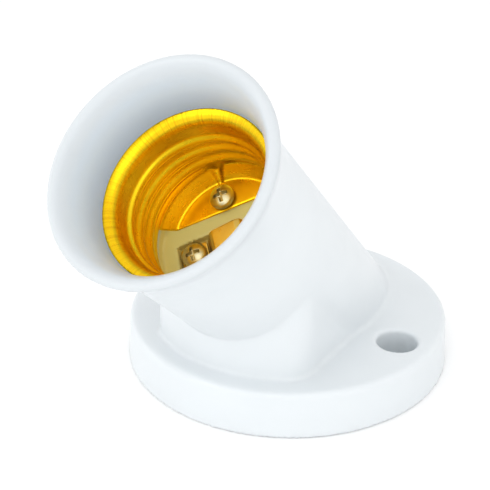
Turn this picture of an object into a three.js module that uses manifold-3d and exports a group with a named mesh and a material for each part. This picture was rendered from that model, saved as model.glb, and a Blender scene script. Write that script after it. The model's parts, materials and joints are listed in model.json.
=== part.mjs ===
// Slanted E27 lampholder on a round screw-down base, for a heat lamp.
// Millimetres. Origin: centre of the rear mounting face. +Z points out of the
// mounting surface, the lamp mouth leans towards -Y, the two mounting holes
// lie on the X axis.
import * as THREE from 'three';
import { mergeVertices } from 'three/addons/utils/BufferGeometryUtils.js';
import Module from 'manifold-3d';

const wasm = await Module();
wasm.setup();

// ---------------------------------------------------------------- dimensions
const GAP = 0.3; // kept between pieces that touch
const OVERRUN = 1; // how far a cutter runs past the surface it opens
const REACH = 90; // half size of a block that stands for a half space

// Round base
const BASE_R = 32;
const BASE_TOP_R = 31.4;
const BASE_H = 9;
const BASE_EDGE_R = 1;
const BASE_RIM = 2.8;
const BASE_PLATE = 3;

// Riser: the straight-sided neck between the base and the leaning tube
const RISER_R = 27;
const RISER_HALF_WIDTH = 16.4;
const RISER_CORNER_R = 2.5;
const RISER_WALL = 2.6;
const RISER_TOP = 34;

// Leaning tube and bell. SOCKET_Y is where the tube axis crosses the base top.
const TILT = Math.PI / 4;
const SOCKET_Y = 3.9;
const TUBE_FOOT_R = 16.85;
const TUBE_R = 17.27;
const TUBE_BOTTOM = -22;
const FLARE_START = 46.5;
const FLARE = [ // outer face of the bell, [radius, s]
  [17.48, 50],
  [17.75, 52],
  [18.1, 54],
  [18.55, 56],
  [19.1, 58],
  [19.7, 60],
];
const RIM_S = 62.2;
const RIM_R = 19.35;
const RIM_EDGE_R = 0.95;
const BELL_DEPTH = 10; // of the elliptical inner face, below the rim's crest

// Bore, floor and rear wiring space, measured along the tube axis (s)
const BORE_R = 14.3;
const REAR_BORE_R = 14;
const WIRING_R = 27;
const WIRING_TOP = 45;
const FLOOR_TOP = 32.2;
const FLOOR_REAR = 27.2;
const SEAT_R = 15.9;
const SEAT_LOW = 49;
const SEAT_HIGH = 51.1;

// Mounting holes
const HOLE_X = 24.4;
const HOLE_HEAD_R = 3.85;
const HOLE_HEAD_DEPTH = 5.5;
const HOLE_SHANK_R = 2.25;
const BOSS_R = 6.2;

// Screw shell, E27 thread
const SHEET = 0.5;
const THREAD_PITCH = 3.629;
const THREAD_DEPTH = 0.8;
const THREAD_NARROWNESS = 1.4; // above 1, the crests are narrower than the valleys
const THREAD_START = 0.75;
const THREAD_LOW = 37.3;
const THREAD_HIGH = 47.9;
const THREAD_FADE = 1.4;
const SHELL_FLOOR = 33;
const CONE_TOP_S = 35.9; // the wall narrows from here down to the floor
const CONE_FOOT_R = 11.8;
const CONE_BEND_R = 0.6;
// Dent over each flange screw: a tapered notch in the cone, from [v, s] to [v, s]
const DENT_LOW = [11.3, 33];
const DENT_HIGH = [12.6, 36.2];
const DENT_LOW_R = 0.25;
const DENT_HIGH_R = 1.35;
const SHELL_PLAIN_R = 13.5;
const LIP_FLARE_R = 2.4;
const LIP_TOP = 51.85;
const SLOT_HALF_WIDTH = 5.6;
const SLOT_TOP = 35.7;

// Fasteners. The contact row lies along u, turned from local X about the axis.
const CONTACT_TURN = THREE.MathUtils.degToRad(38);
const FLANGE_SCREW_V = 8.2;
const CONTACT_SCREW_U = -8.2;
const FIX_HEAD_R = 2.5;
const FIX_HEAD_H = 1.6;
const FIX_HEAD_EDGE_H = 0.7; // straight part of the head's side
const FIX_HEAD_DOME = [1.95, 1.35]; // [radius, height] where the dome bends
const FIX_SHANK_R = 1.45;
const FIX_HOLE_R = 1.75;
const RECESS_DEPTH = 1.0;
const RECESS_WIDTH = 0.7;
const RECESS_ARM = 1.55;
const NUT_ACROSS_FLATS = 5.5;
const NUT_H = 2.2;
const LOCK_WASHER_R = 2.6;
const LOCK_WASHER_H = 0.6;
const LOCK_WASHER_CUT = 0.5;
const THREAD_STICK_OUT = 0.5;

// Centre contact: a bent brass strip in a pocket of the floor
const POCKET_LOW_U = -11.2;
const POCKET_HIGH_U = 4.4;
const POCKET_HALF_WIDTH = 2.8;
const POCKET_FLOOR = 30.4;
const CONTACT_HALF_WIDTH = 2.2;
const CONTACT_SHEET = 0.6;
const BEND_U = -5.3; // where the foot ends and the sprung tongue starts
const TONGUE = [ // upper face of the tongue past its root, [u, s]
  [-4.8, 31.55],
  [-3.8, 33.6],
  [-3.2, 34.1],
  [1.4, 34.8],
  [2.3, 34.7],
  [2.9, 34.2],
];

// Wire terminals behind the floor
const STRIP_H = 1.2;
const STRIP_R = 2.9;
const SHELL_CLAMP_UV = [7.5, 5.6];
const CONTACT_CLAMP_UV = [0.5, 0];
const CLAMP_SHANK_R = 1.65;
const CLAMP_HOLE_R = 1.85;
const CLAMP_HEAD_R = 2.8;
const CLAMP_HEAD_H = 2;
const CLAMP_HEAD_CHAMFER = 0.4;
const CLAMP_SLOT_DEPTH = 0.9;
const CLAMP_SLOT_WIDTH = 0.8;
const CLAMP_WASHER_SIDE = 5.8;
const CLAMP_WASHER_H = 0.8;
const CLAMP_TIP_S = 27.7;
const CLAMP_POCKET_R = 2.1;
const CLAMP_POCKET_TOP = 28.5;

// Facets round a full circle
const BASE_FACETS = 56;
const TUBE_FACETS = 40;
const SHELL_FACETS = 28;
const SMALL_FACETS = 16;

// ----------------------------------------------------------------- materials
const finish = (color, roughness, metalness) => ({ color, roughness, metalness });
const WHITE_MOULDING = finish(0xeef2f5, 0.35, 0);
const BRASS_SHELL = finish(0xe0a81c, 0.2, 1);
const BRASS_STRIP = finish(0xc9962a, 0.3, 1);
const PLATED_STEEL = finish(0xd8cfa6, 0.3, 1);

// -------------------------------------------------------------- frame helpers
const socketFrame = new THREE.Matrix4()
  .makeTranslation(0, SOCKET_Y, BASE_H)
  .multiply(new THREE.Matrix4().makeRotationX(TILT));

/** Local x, y of a point given in the contact row's own u, v axes. */
function fromUV(u, v) {
  const point = new THREE.Vector2(u, v);
  return point.rotateAround(new THREE.Vector2(0, 0), CONTACT_TURN);
}

const contactFootTop = POCKET_FLOOR + GAP + CONTACT_SHEET;

// ------------------------------------------------------------- solid helpers
/** A manifold solid from a closed three.js geometry. */
function solidOf(geometry) {
  const bare = geometry.clone();
  bare.deleteAttribute('normal');
  bare.deleteAttribute('uv');
  const merged = mergeVertices(bare, 1e-4);
  const index = merged.index.array;
  const triangles = [];
  for (let i = 0; i < index.length; i += 3) {
    const [a, b, c] = index.slice(i, i + 3);
    if (a !== b && b !== c && c !== a) triangles.push(a, b, c);
  }
  return new wasm.Manifold(new wasm.Mesh({
    numProp: 3,
    vertProperties: Float32Array.from(merged.attributes.position.array),
    triVerts: Uint32Array.from(triangles),
  }));
}

/** A three.js geometry from a manifold solid. */
function geometryOf(solid) {
  const mesh = solid.getMesh();
  const geometry = new THREE.BufferGeometry();
  geometry.setAttribute('position', new THREE.BufferAttribute(mesh.vertProperties, 3));
  geometry.setIndex(new THREE.BufferAttribute(mesh.triVerts, 1));
  geometry.computeVertexNormals();
  return geometry;
}

/** Turned body about Z from [radius, height] points, bottom first up the outside. */
function turned(profile, facets) {
  const points = profile.map(([r, height]) => new THREE.Vector2(r, height));
  return new THREE.LatheGeometry(points, facets).rotateX(Math.PI / 2);
}

/** Upright cylinder between two heights, centred on x, y. */
function rod(radius, low, high, x = 0, y = 0, facets = SMALL_FACETS) {
  const geometry = turned([[0, low], [radius, low], [radius, high], [0, high]], facets);
  return geometry.translate(x, y, 0);
}

/** Box between two corners. */
function block(low, high) {
  const size = high.map((value, i) => value - low[i]);
  const middle = high.map((value, i) => (value + low[i]) / 2);
  return new THREE.BoxGeometry(...size).translate(...middle);
}

/** Upright prism of a shape between two heights. */
function prism(shape, low, high, curveSegments = SMALL_FACETS) {
  const options = { depth: high - low, bevelEnabled: false, curveSegments };
  return new THREE.ExtrudeGeometry(shape, options).translate(0, 0, low);
}

/** Points on an arc in a profile, from one angle to another, both ends kept. */
function arc(centreR, centreS, radius, fromDeg, toDeg, steps) {
  return Array.from({ length: steps + 1 }, (_, i) => {
    const angle = THREE.MathUtils.degToRad(fromDeg + ((toDeg - fromDeg) * i) / steps);
    return [centreR + radius * Math.cos(angle), centreS + radius * Math.sin(angle)];
  });
}

const inSocket = (geometry) => solidOf(geometry.clone().applyMatrix4(socketFrame));

// ------------------------------------------------------------------- housing
/** Riser outline: a circle cut by two flats, with rounded corners. */
function riserShape(radius, halfWidth, cornerR) {
  const centreX = halfWidth - cornerR;
  const centreY = Math.sqrt((radius - cornerR) ** 2 - centreX ** 2);
  const meet = Math.atan2(centreY, centreX);
  const shape = new THREE.Shape();
  shape.moveTo(halfWidth, -centreY);
  shape.lineTo(halfWidth, centreY);
  shape.absarc(centreX, centreY, cornerR, 0, meet, false);
  shape.absarc(0, 0, radius, meet, Math.PI - meet, false);
  shape.absarc(-centreX, centreY, cornerR, Math.PI - meet, Math.PI, false);
  shape.lineTo(-halfWidth, -centreY);
  shape.absarc(-centreX, -centreY, cornerR, Math.PI, Math.PI + meet, false);
  shape.absarc(0, 0, radius, Math.PI + meet, 2 * Math.PI - meet, false);
  shape.absarc(centreX, -centreY, cornerR, -meet, 0, false);
  return shape;
}

/** The half space under the tube's axis plane, as a large block. */
function underTubeAxis() {
  return inSocket(block([-REACH, -REACH, -REACH], [REACH, 0, REACH]));
}

/** Everything above a world height, as a large block. */
function aboveHeight(z) {
  return solidOf(block([-REACH, -REACH, z], [REACH, REACH, z + REACH]));
}

function baseDisc() {
  const edge = arc(BASE_TOP_R - BASE_EDGE_R, BASE_H - BASE_EDGE_R, BASE_EDGE_R, 0, 90, 3);
  return solidOf(turned([[0, 0], [BASE_R, 0], ...edge, [0, BASE_H]], BASE_FACETS));
}

function riser() {
  const shape = riserShape(RISER_R, RISER_HALF_WIDTH, RISER_CORNER_R);
  return solidOf(prism(shape, BASE_PLATE, RISER_TOP)).intersect(underTubeAxis());
}

/** Leaning tube with its flared bell, solid, in the socket's own frame. */
function tubeAndBell() {
  const rim = arc(RIM_R, RIM_S - RIM_EDGE_R, RIM_EDGE_R, 10, 90, 3);
  const profile = [
    [0, TUBE_BOTTOM],
    [TUBE_FOOT_R, TUBE_BOTTOM],
    [TUBE_R, FLARE_START],
    ...FLARE,
    ...rim,
    [0, RIM_S],
  ];
  return inSocket(turned(profile, TUBE_FACETS)).intersect(aboveHeight(BASE_PLATE));
}

/** The space the lamp cap and screw shell take, opened through the mouth. */
function socketBore() {
  const bell = arc(0, 0, 1, 180, 90, 7).map(([across, along]) => [
    RIM_R + (RIM_R - SEAT_R) * across,
    RIM_S - BELL_DEPTH + BELL_DEPTH * along,
  ]);
  const profile = [
    [0, FLOOR_TOP],
    [BORE_R, FLOOR_TOP],
    [BORE_R, SEAT_LOW],
    [SEAT_R, SEAT_HIGH],
    ...bell,
    [RIM_R, RIM_S + OVERRUN],
    [0, RIM_S + OVERRUN],
  ];
  return inSocket(turned(profile, TUBE_FACETS));
}

/** The open wiring space behind the floor: tube bore and riser inside, within the rim. */
function wiringSpace() {
  const bore = inSocket(rod(REAR_BORE_R, -REACH, FLOOR_REAR, 0, 0, TUBE_FACETS));
  const shape = riserShape(
    RISER_R - RISER_WALL,
    RISER_HALF_WIDTH - RISER_WALL,
    RISER_CORNER_R / 2,
  );
  const behindFloor = inSocket(block([-REACH, -REACH, -REACH], [REACH, REACH, FLOOR_REAR]));
  const inside = solidOf(prism(shape, -OVERRUN, RISER_TOP))
    .intersect(underTubeAxis())
    .intersect(behindFloor);
  const withinRim = solidOf(rod(WIRING_R, -OVERRUN, WIRING_TOP, 0, 0, BASE_FACETS));
  return bore.add(inside).intersect(withinRim);
}

/** Recess under the base plate, leaving the rim, the mounting bosses and the riser wall. */
function baseRecess() {
  const recess = solidOf(rod(BASE_R - BASE_RIM, -OVERRUN, BASE_H - BASE_PLATE, 0, 0, BASE_FACETS));
  const low = -2 * OVERRUN;
  const tube = inSocket(rod(TUBE_FOOT_R, -REACH, FLOOR_REAR, 0, 0, TUBE_FACETS));
  const neck = solidOf(prism(riserShape(RISER_R, RISER_HALF_WIDTH, RISER_CORNER_R), low, BASE_H))
    .intersect(underTubeAxis());
  let kept = tube.add(neck);
  for (const side of [-1, 1]) {
    kept = kept.add(solidOf(rod(BOSS_R, low, BASE_H, side * HOLE_X, 0, TUBE_FACETS / 2)));
  }
  return recess.subtract(kept);
}

function mountingHoles() {
  const cutters = [-1, 1].map((side) => {
    const profile = [
      [0, -OVERRUN],
      [HOLE_SHANK_R, -OVERRUN],
      [HOLE_SHANK_R, BASE_H - HOLE_HEAD_DEPTH],
      [HOLE_HEAD_R, BASE_H - HOLE_HEAD_DEPTH],
      [HOLE_HEAD_R, BASE_H + OVERRUN],
      [0, BASE_H + OVERRUN],
    ];
    return solidOf(turned(profile, TUBE_FACETS / 2).translate(side * HOLE_X, 0, 0));
  });
  return cutters[0].add(cutters[1]);
}

/** Holes through the floor for the fixing screws, the contact pocket and the clamp screw tips. */
function floorCuts() {
  const through = fixings.map(({ uv }) => {
    const { x, y } = fromUV(...uv);
    return inSocket(rod(FIX_HOLE_R, FLOOR_REAR - OVERRUN, FLOOR_TOP + OVERRUN, x, y));
  });
  const tips = [SHELL_CLAMP_UV, CONTACT_CLAMP_UV].map((uv) => {
    const { x, y } = fromUV(...uv);
    return inSocket(rod(CLAMP_POCKET_R, FLOOR_REAR - OVERRUN, CLAMP_POCKET_TOP, x, y));
  });
  const pocket = block(
    [POCKET_LOW_U, -POCKET_HALF_WIDTH, POCKET_FLOOR],
    [POCKET_HIGH_U, POCKET_HALF_WIDTH, FLOOR_TOP + OVERRUN],
  ).rotateZ(CONTACT_TURN);
  return [...through, ...tips, inSocket(pocket)].reduce((all, one) => all.add(one));
}

function housing() {
  const solid = baseDisc()
    .add(riser())
    .add(tubeAndBell())
    .subtract(wiringSpace())
    .subtract(baseRecess())
    .subtract(socketBore())
    .subtract(mountingHoles())
    .subtract(floorCuts());
  return geometryOf(solid);
}

// --------------------------------------------------------------- screw shell
/** How far the thread has formed at a height: 0 on the plain wall, 1 along the thread. */
function threadFade(height) {
  const rise = THREE.MathUtils.smoothstep(height, THREAD_LOW - THREAD_FADE, THREAD_LOW);
  const fall = 1 - THREE.MathUtils.smoothstep(height, THREAD_HIGH - THREAD_FADE, THREAD_HIGH);
  return rise * fall;
}

/** Right-hand thread wave: 1 on a crest that points to the axis, 0 in a root. */
function threadWave(angle, height) {
  const wave = 0.5 + 0.5 * Math.cos((2 * Math.PI * (height - THREAD_START)) / THREAD_PITCH - angle);
  return wave ** THREAD_NARROWNESS;
}

/** Turned cup with the thread pressed into both faces of its wall. */
function threadedCup() {
  const rowsPerPitch = 5;
  const wallHeight = THREAD_HIGH - CONE_TOP_S;
  const rows = Math.round((wallHeight / THREAD_PITCH) * rowsPerPitch);
  const wall = Array.from({ length: rows + 1 }, (_, i) => [
    SHELL_PLAIN_R,
    THREAD_HIGH - (wallHeight * i) / rows,
  ]);
  const flareR = SHELL_PLAIN_R + LIP_FLARE_R;
  const flareS = LIP_TOP - LIP_FLARE_R;
  const inner = [
    ...arc(flareR, flareS, LIP_FLARE_R, 100, 180, 4),
    ...wall,
    [CONE_FOOT_R, SHELL_FLOOR + CONE_BEND_R],
    [CONE_FOOT_R - CONE_BEND_R, SHELL_FLOOR],
    [0, SHELL_FLOOR],
  ];
  const outer = [
    [0, SHELL_FLOOR - SHEET],
    [CONE_FOOT_R - CONE_BEND_R, SHELL_FLOOR - SHEET],
    [CONE_FOOT_R + SHEET, SHELL_FLOOR + CONE_BEND_R - SHEET / 2],
    ...wall.toReversed().map(([r, s]) => [r + SHEET, s]),
    ...arc(flareR, flareS, LIP_FLARE_R - SHEET, 180, 100, 4),
  ];
  const geometry = turned([...outer, ...inner], SHELL_FACETS);
  const position = geometry.attributes.position;
  for (let i = 0; i < position.count; i += 1) {
    const [x, y, s] = [position.getX(i), position.getY(i), position.getZ(i)];
    const radius = Math.hypot(x, y);
    if (radius < SHELL_PLAIN_R - GAP || s > THREAD_HIGH) continue;
    const inward = THREAD_DEPTH * threadWave(Math.atan2(y, x), s) * threadFade(s);
    const scale = (radius - inward) / radius;
    position.setXY(i, x * scale, y * scale);
  }
  return solidOf(geometry);
}

/** Tapered cutter for the dent over one flange screw, grown by a margin. */
function dentCone(side, margin) {
  const rise = [DENT_HIGH[0] - DENT_LOW[0], DENT_HIGH[1] - DENT_LOW[1]];
  const length = Math.hypot(...rise);
  const profile = [
    [0, 0],
    [DENT_LOW_R + margin, 0],
    [DENT_HIGH_R + margin, length],
    [0, length],
  ];
  const cone = turned(profile, SMALL_FACETS)
    .rotateX(-Math.atan2(...rise))
    .translate(0, ...DENT_LOW)
    .rotateZ(CONTACT_TURN + (side < 0 ? Math.PI : 0));
  const within = rod(SHELL_PLAIN_R + margin, SHELL_FLOOR - margin, THREAD_LOW, 0, 0, SHELL_FACETS);
  return solidOf(cone).intersect(solidOf(within));
}

/** Plain space inside the cup's lower end, before the thread. */
function cupSpace() {
  const profile = [
    [0, SHELL_FLOOR],
    [CONE_FOOT_R - CONE_BEND_R, SHELL_FLOOR],
    [CONE_FOOT_R, SHELL_FLOOR + CONE_BEND_R],
    [SHELL_PLAIN_R, CONE_TOP_S],
    [SHELL_PLAIN_R, THREAD_HIGH],
    [0, THREAD_HIGH],
  ];
  return solidOf(turned(profile, SHELL_FACETS));
}

/** Screw shell: the cup with its floor slotted, which leaves two flanges with screw holes. */
function screwShell() {
  const slot = block(
    [-REACH, -SLOT_HALF_WIDTH, SHELL_FLOOR - SHEET - OVERRUN],
    [REACH, SLOT_HALF_WIDTH, SLOT_TOP],
  ).rotateZ(CONTACT_TURN);
  let solid = threadedCup().subtract(solidOf(slot));
  for (const side of [-1, 1]) {
    solid = solid.add(dentCone(side, SHEET).subtract(cupSpace())).subtract(dentCone(side, 0));
    const { x, y } = fromUV(0, side * FLANGE_SCREW_V);
    const hole = rod(FIX_HOLE_R, SHELL_FLOOR - SHEET - OVERRUN, SHELL_FLOOR + OVERRUN, x, y);
    solid = solid.subtract(solidOf(hole));
  }
  return geometryOf(solid);
}

// ----------------------------------------------------------------- fasteners
/** Domed pan-head screw with a cross recess; its axis is Z and the head is on top. */
function crossScrew(headLow, tip) {
  const headTop = headLow + FIX_HEAD_H;
  const [domeR, domeH] = FIX_HEAD_DOME;
  const profile = [
    [0, tip],
    [FIX_SHANK_R, tip],
    [FIX_SHANK_R, headLow],
    [FIX_HEAD_R, headLow],
    [FIX_HEAD_R, headLow + FIX_HEAD_EDGE_H],
    [domeR, headLow + domeH],
    [0, headTop],
  ];
  let solid = solidOf(turned(profile, SMALL_FACETS));
  for (const turn of [0, Math.PI / 2]) {
    const bar = block(
      [-RECESS_ARM, -RECESS_WIDTH / 2, headTop - RECESS_DEPTH],
      [RECESS_ARM, RECESS_WIDTH / 2, headTop + OVERRUN],
    ).rotateZ(turn);
    solid = solid.subtract(solidOf(bar));
  }
  return geometryOf(solid);
}

/** Slotted binding screw with its head below its shank. */
function clampScrew(headLow) {
  const headTop = headLow + CLAMP_HEAD_H;
  const profile = [
    [0, headLow],
    [CLAMP_HEAD_R - CLAMP_HEAD_CHAMFER, headLow],
    [CLAMP_HEAD_R, headLow + CLAMP_HEAD_CHAMFER],
    [CLAMP_HEAD_R, headTop],
    [CLAMP_SHANK_R, headTop],
    [CLAMP_SHANK_R, CLAMP_TIP_S],
    [0, CLAMP_TIP_S],
  ];
  const slot = block(
    [-CLAMP_HEAD_R - OVERRUN, -CLAMP_SLOT_WIDTH / 2, headLow - OVERRUN],
    [CLAMP_HEAD_R + OVERRUN, CLAMP_SLOT_WIDTH / 2, headLow + CLAMP_SLOT_DEPTH],
  );
  return geometryOf(solidOf(turned(profile, SMALL_FACETS)).subtract(solidOf(slot)));
}

/** Ring between two heights. */
function ring(innerR, outerR, low, high) {
  const profile = [[innerR, low], [outerR, low], [outerR, high], [innerR, high], [innerR, low]];
  return turned(profile, SMALL_FACETS);
}

function hexNut(low) {
  const cornerR = NUT_ACROSS_FLATS / Math.sqrt(3);
  const hexagon = turned([[0, low], [cornerR, low], [cornerR, low + NUT_H], [0, low + NUT_H]], 6);
  const hole = rod(FIX_HOLE_R, low - OVERRUN, low + NUT_H + OVERRUN);
  return geometryOf(solidOf(hexagon).subtract(solidOf(hole)));
}

/** Split lock washer, flattened: a ring with one cut. */
function lockWasher(low) {
  const cut = block(
    [FIX_SHANK_R, -LOCK_WASHER_CUT / 2, low - OVERRUN],
    [LOCK_WASHER_R + OVERRUN, LOCK_WASHER_CUT / 2, low + LOCK_WASHER_H + OVERRUN],
  );
  const solid = solidOf(ring(FIX_HOLE_R, LOCK_WASHER_R, low, low + LOCK_WASHER_H));
  return geometryOf(solid.subtract(solidOf(cut)));
}

function clampWasher(low) {
  const half = CLAMP_WASHER_SIDE / 2;
  const plate = block([-half, -half, low], [half, half, low + CLAMP_WASHER_H]);
  const hole = rod(CLAMP_HOLE_R, low - OVERRUN, low + CLAMP_WASHER_H + OVERRUN);
  return geometryOf(solidOf(plate).subtract(solidOf(hole)));
}

// ----------------------------------------------------------- contact and strips
/** Terminal strip with round ends, one screw hole at each end, in the u, v axes. */
function terminalStrip([fromU, fromV], [toU, toV]) {
  const length = Math.hypot(toU - fromU, toV - fromV);
  const shape = new THREE.Shape();
  shape.absarc(length, 0, STRIP_R, -Math.PI / 2, Math.PI / 2, false);
  shape.absarc(0, 0, STRIP_R, Math.PI / 2, (3 * Math.PI) / 2, false);
  const holes = [[0, FIX_HOLE_R], [length, CLAMP_HOLE_R]];
  for (const [x, radius] of holes) {
    shape.holes.push(new THREE.Path().absarc(x, 0, radius, 0, 2 * Math.PI, true));
  }
  const top = FLOOR_REAR - GAP;
  return prism(shape, top - STRIP_H, top, SMALL_FACETS / 2)
    .rotateZ(Math.atan2(toV - fromV, toU - fromU))
    .translate(fromU, fromV, 0)
    .rotateZ(CONTACT_TURN);
}

/** Strip of constant thickness that follows [u, s] points on its upper face. */
function bentStrip(points) {
  const normals = points.map((_, i) => {
    const before = points[Math.max(i - 1, 0)];
    const after = points[Math.min(i + 1, points.length - 1)];
    return new THREE.Vector2(before[1] - after[1], after[0] - before[0]).normalize();
  });
  const under = points.map(([u, s], i) => [
    u - normals[i].x * CONTACT_SHEET,
    s - normals[i].y * CONTACT_SHEET,
  ]);
  const outline = [...under, ...points.toReversed()].map(([u, s]) => new THREE.Vector2(u, s));
  const shape = new THREE.Shape(outline);
  return prism(shape, -CONTACT_HALF_WIDTH, CONTACT_HALF_WIDTH)
    .rotateX(Math.PI / 2)
    .rotateZ(CONTACT_TURN);
}

/** Fixed end of the centre contact, flat on the pocket's floor under its screw. */
function contactFoot() {
  const low = POCKET_FLOOR + GAP;
  const plate = block(
    [POCKET_LOW_U + GAP, -CONTACT_HALF_WIDTH, low],
    [BEND_U - GAP, CONTACT_HALF_WIDTH, low + CONTACT_SHEET],
  );
  const hole = rod(FIX_HOLE_R, low - OVERRUN, low + CONTACT_SHEET + OVERRUN, CONTACT_SCREW_U, 0);
  return geometryOf(solidOf(plate).subtract(solidOf(hole))).rotateZ(CONTACT_TURN);
}

/** Sprung end of the centre contact, from the bend up to the curled tip. */
function contactTongue() {
  return bentStrip([[BEND_U, contactFootTop], ...TONGUE]);
}

// ---------------------------------------------------------------- fixing list
// Each fixing screw: where it is, what its head bears on, and whether a strip lies behind it.
const fixings = [
  { name: 'shell_screw', uv: [0, FLANGE_SCREW_V], seat: SHELL_FLOOR, strip: true },
  { name: 'shell_rear_screw', uv: [0, -FLANGE_SCREW_V], seat: SHELL_FLOOR, strip: false },
  { name: 'contact_screw', uv: [CONTACT_SCREW_U, 0], seat: contactFootTop, strip: true },
];

// -------------------------------------------------------------------- assembly
function part(name, geometry, look) {
  const mesh = new THREE.Mesh(geometry, new THREE.MeshStandardMaterial(look));
  mesh.name = name;
  return mesh;
}

/** One fixing screw with its lock washer and nut, stacked behind the floor. */
function fixingStack({ name, uv, seat, strip }) {
  const washerTop = FLOOR_REAR - GAP - (strip ? STRIP_H + GAP : 0);
  const washerLow = washerTop - LOCK_WASHER_H;
  const nutLow = washerLow - GAP - NUT_H;
  const stack = new THREE.Group();
  stack.add(part(name, crossScrew(seat + GAP, nutLow - THREAD_STICK_OUT), PLATED_STEEL));
  stack.add(part(`${name}_lock_washer`, lockWasher(washerLow), PLATED_STEEL));
  stack.add(part(`${name}_nut`, hexNut(nutLow), BRASS_STRIP));
  const { x, y } = fromUV(...uv);
  stack.position.set(x, y, 0);
  stack.rotation.z = CONTACT_TURN;
  return stack;
}

/** One wire clamp: a binding screw and the square washer under its head. */
function wireClamp(name, uv) {
  const washerTop = FLOOR_REAR - 2 * GAP - STRIP_H;
  const washerLow = washerTop - CLAMP_WASHER_H;
  const clamp = new THREE.Group();
  clamp.add(part(`${name}_clamp_washer`, clampWasher(washerLow), PLATED_STEEL));
  clamp.add(part(`${name}_clamp_screw`, clampScrew(washerLow - GAP - CLAMP_HEAD_H), PLATED_STEEL));
  const { x, y } = fromUV(...uv);
  clamp.position.set(x, y, 0);
  clamp.rotation.z = CONTACT_TURN;
  return clamp;
}

const socket = new THREE.Group();
socket.position.set(0, SOCKET_Y, BASE_H);
socket.rotation.x = TILT;
socket.add(part('screw_shell', screwShell(), BRASS_SHELL));
socket.add(part('centre_contact_foot', contactFoot(), BRASS_STRIP));
socket.add(part('centre_contact_tongue', contactTongue(), BRASS_STRIP));
const shellTerminal = terminalStrip([0, FLANGE_SCREW_V], SHELL_CLAMP_UV);
const contactTerminal = terminalStrip([CONTACT_SCREW_U, 0], CONTACT_CLAMP_UV);
socket.add(part('shell_terminal', shellTerminal, BRASS_STRIP));
socket.add(part('contact_terminal', contactTerminal, BRASS_STRIP));
for (const fixing of fixings) socket.add(fixingStack(fixing));
socket.add(wireClamp('shell', SHELL_CLAMP_UV));
socket.add(wireClamp('contact', CONTACT_CLAMP_UV));

const lampholder = new THREE.Group();
lampholder.add(part('housing', housing(), WHITE_MOULDING));
lampholder.add(socket);

export default lampholder;
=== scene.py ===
"""Slanted E27 lampholder for a heat lamp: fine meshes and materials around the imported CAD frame.

Lengths are millimetres in the CAD frame (origin at the centre of the rear face, +Z out of the
wall, mouth leaning towards -Y) until a mesh is made, which is in metres.
"""

import json
import math

import bpy
import numpy as np
from mathutils import Matrix, Vector


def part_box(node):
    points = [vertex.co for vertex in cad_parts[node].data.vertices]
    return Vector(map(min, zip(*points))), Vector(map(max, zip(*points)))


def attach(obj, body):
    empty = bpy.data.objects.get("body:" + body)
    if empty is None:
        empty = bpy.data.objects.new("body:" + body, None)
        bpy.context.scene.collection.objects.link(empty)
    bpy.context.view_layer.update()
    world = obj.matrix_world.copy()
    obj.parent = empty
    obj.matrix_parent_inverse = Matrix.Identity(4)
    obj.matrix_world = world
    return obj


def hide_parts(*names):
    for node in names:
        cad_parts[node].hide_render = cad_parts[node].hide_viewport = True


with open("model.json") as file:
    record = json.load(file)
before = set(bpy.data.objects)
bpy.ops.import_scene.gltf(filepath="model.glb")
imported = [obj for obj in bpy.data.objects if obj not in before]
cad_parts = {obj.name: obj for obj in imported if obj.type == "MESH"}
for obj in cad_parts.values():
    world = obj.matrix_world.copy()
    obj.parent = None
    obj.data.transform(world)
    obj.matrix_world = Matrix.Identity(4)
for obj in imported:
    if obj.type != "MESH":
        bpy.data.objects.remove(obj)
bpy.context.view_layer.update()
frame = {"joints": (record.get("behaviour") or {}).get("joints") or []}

MM = 0.001

# ------------------------------------------------------------------ driving sizes
# Heights in the socket are measured along its axis, from the base's front face towards the
# mouth. U, V and S are the contact row's axes: U runs along the row, V across it and S along the
# socket's axis.

# Round base, hollow behind.
BASE_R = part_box("housing")[1].x / MM
BASE_TOP_R = BASE_R - 0.6
BASE_H = 9.0
BASE_EDGE_R = 1.0
BASE_UNDER_EDGE_R = 0.12
BASE_FILLET_R = 1.0
BASE_RIM = 2.8
BASE_PLATE = 3.0
HOLLOW_CORNER_R = 0.6

# Neck between the base and the tube.
RISER_R = 27.0
RISER_HALF_WIDTH = 16.4
RISER_CORNER_R = 2.5
RISER_WALL = 2.6
RISER_FILLET_R = 0.3

# Tube and bell.
SOCKET_Y = 3.9
TUBE_FOOT_R = 16.95
TUBE_TAPER = 0.006
TUBE_BOTTOM = -22.0
FLARE_START = 45.5
FLARE_CURVE = 0.0113
RIM_S = 62.2
RIM_OUTER_R = 20.25
RIM_OUTER_EDGE_R = 0.9
BELL_CREST_R = 19.3
BELL_DEPTH = 10.0

# Bore, its floor, the seat of the shell's lip, and the wiring space behind the floor.
BORE_R = 14.3
FLOOR_TOP = 32.2
FLOOR_REAR = 27.2
FLOOR_CORNER_R = 0.4
SEAT_R = 15.9
SEAT_LOW = 49.0
SEAT_SLOPE = 0.762
WIRING_R = 27.0
REAR_BORE_R = 14.0
WIRING_TOP_CORNER_R = 0.5
WIRING_FOOT_CORNER_R = 1.0
REAR_CUT_EDGE_R = 0.3

# Counterbored fixing holes, one on each side of the neck.
HOLE_X = 24.4
HOLE_HEAD_R = 3.85
HOLE_HEAD_DEPTH = 5.5
HOLE_HEAD_CORNER_R = 0.3
HOLE_SHANK_R = 2.25
HOLE_EDGE_R = 0.7
BOSS_R = 6.2

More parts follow.
